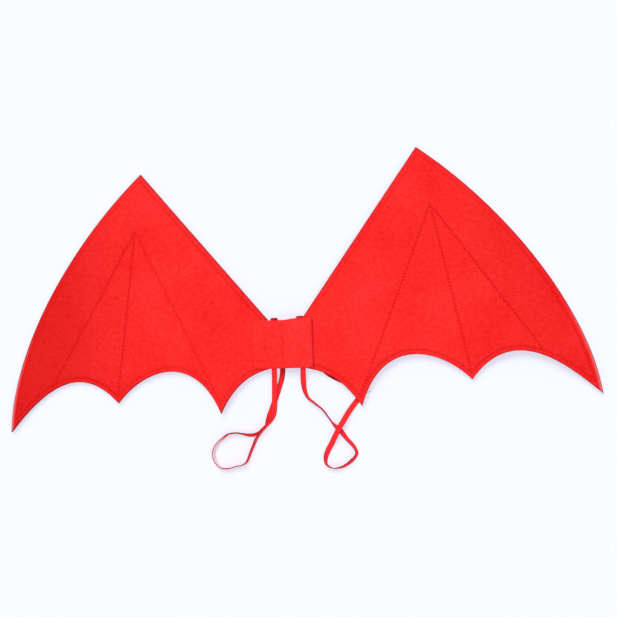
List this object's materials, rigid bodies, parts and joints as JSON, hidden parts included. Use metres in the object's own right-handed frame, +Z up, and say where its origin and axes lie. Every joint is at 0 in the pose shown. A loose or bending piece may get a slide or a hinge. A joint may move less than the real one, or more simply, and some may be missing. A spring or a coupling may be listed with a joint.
{
  "type": "costume devil wings",
  "caption": "Pair of scalloped red felt wings with sewn rays, joined by a felt centre band that holds two flat elastic shoulder loops; worn on the back with a costume.",
  "frame": {"origin": "on the surface the wings lie on, under the middle of their span and of their height", "axes": "+X along the span, +Y towards the wings' upper points, +Z up out of the front face"},
  "size_m": [0.6407, 0.3339, 0.0093],
  "materials": {
    "front_felt": "matte felt",
    "back_felt": "matte felt",
    "band_felt": "matte felt",
    "elastic": "knitted elastic"
  },
  "bodies": {
    "root": {"left_wing_back": "back_felt", "left_wing_front": "front_felt", "right_wing_back": "back_felt", "right_wing_front": "front_felt", "centre_band": "band_felt", "left_strap": "elastic", "right_strap": "elastic"}
  },
  "joints": []
}
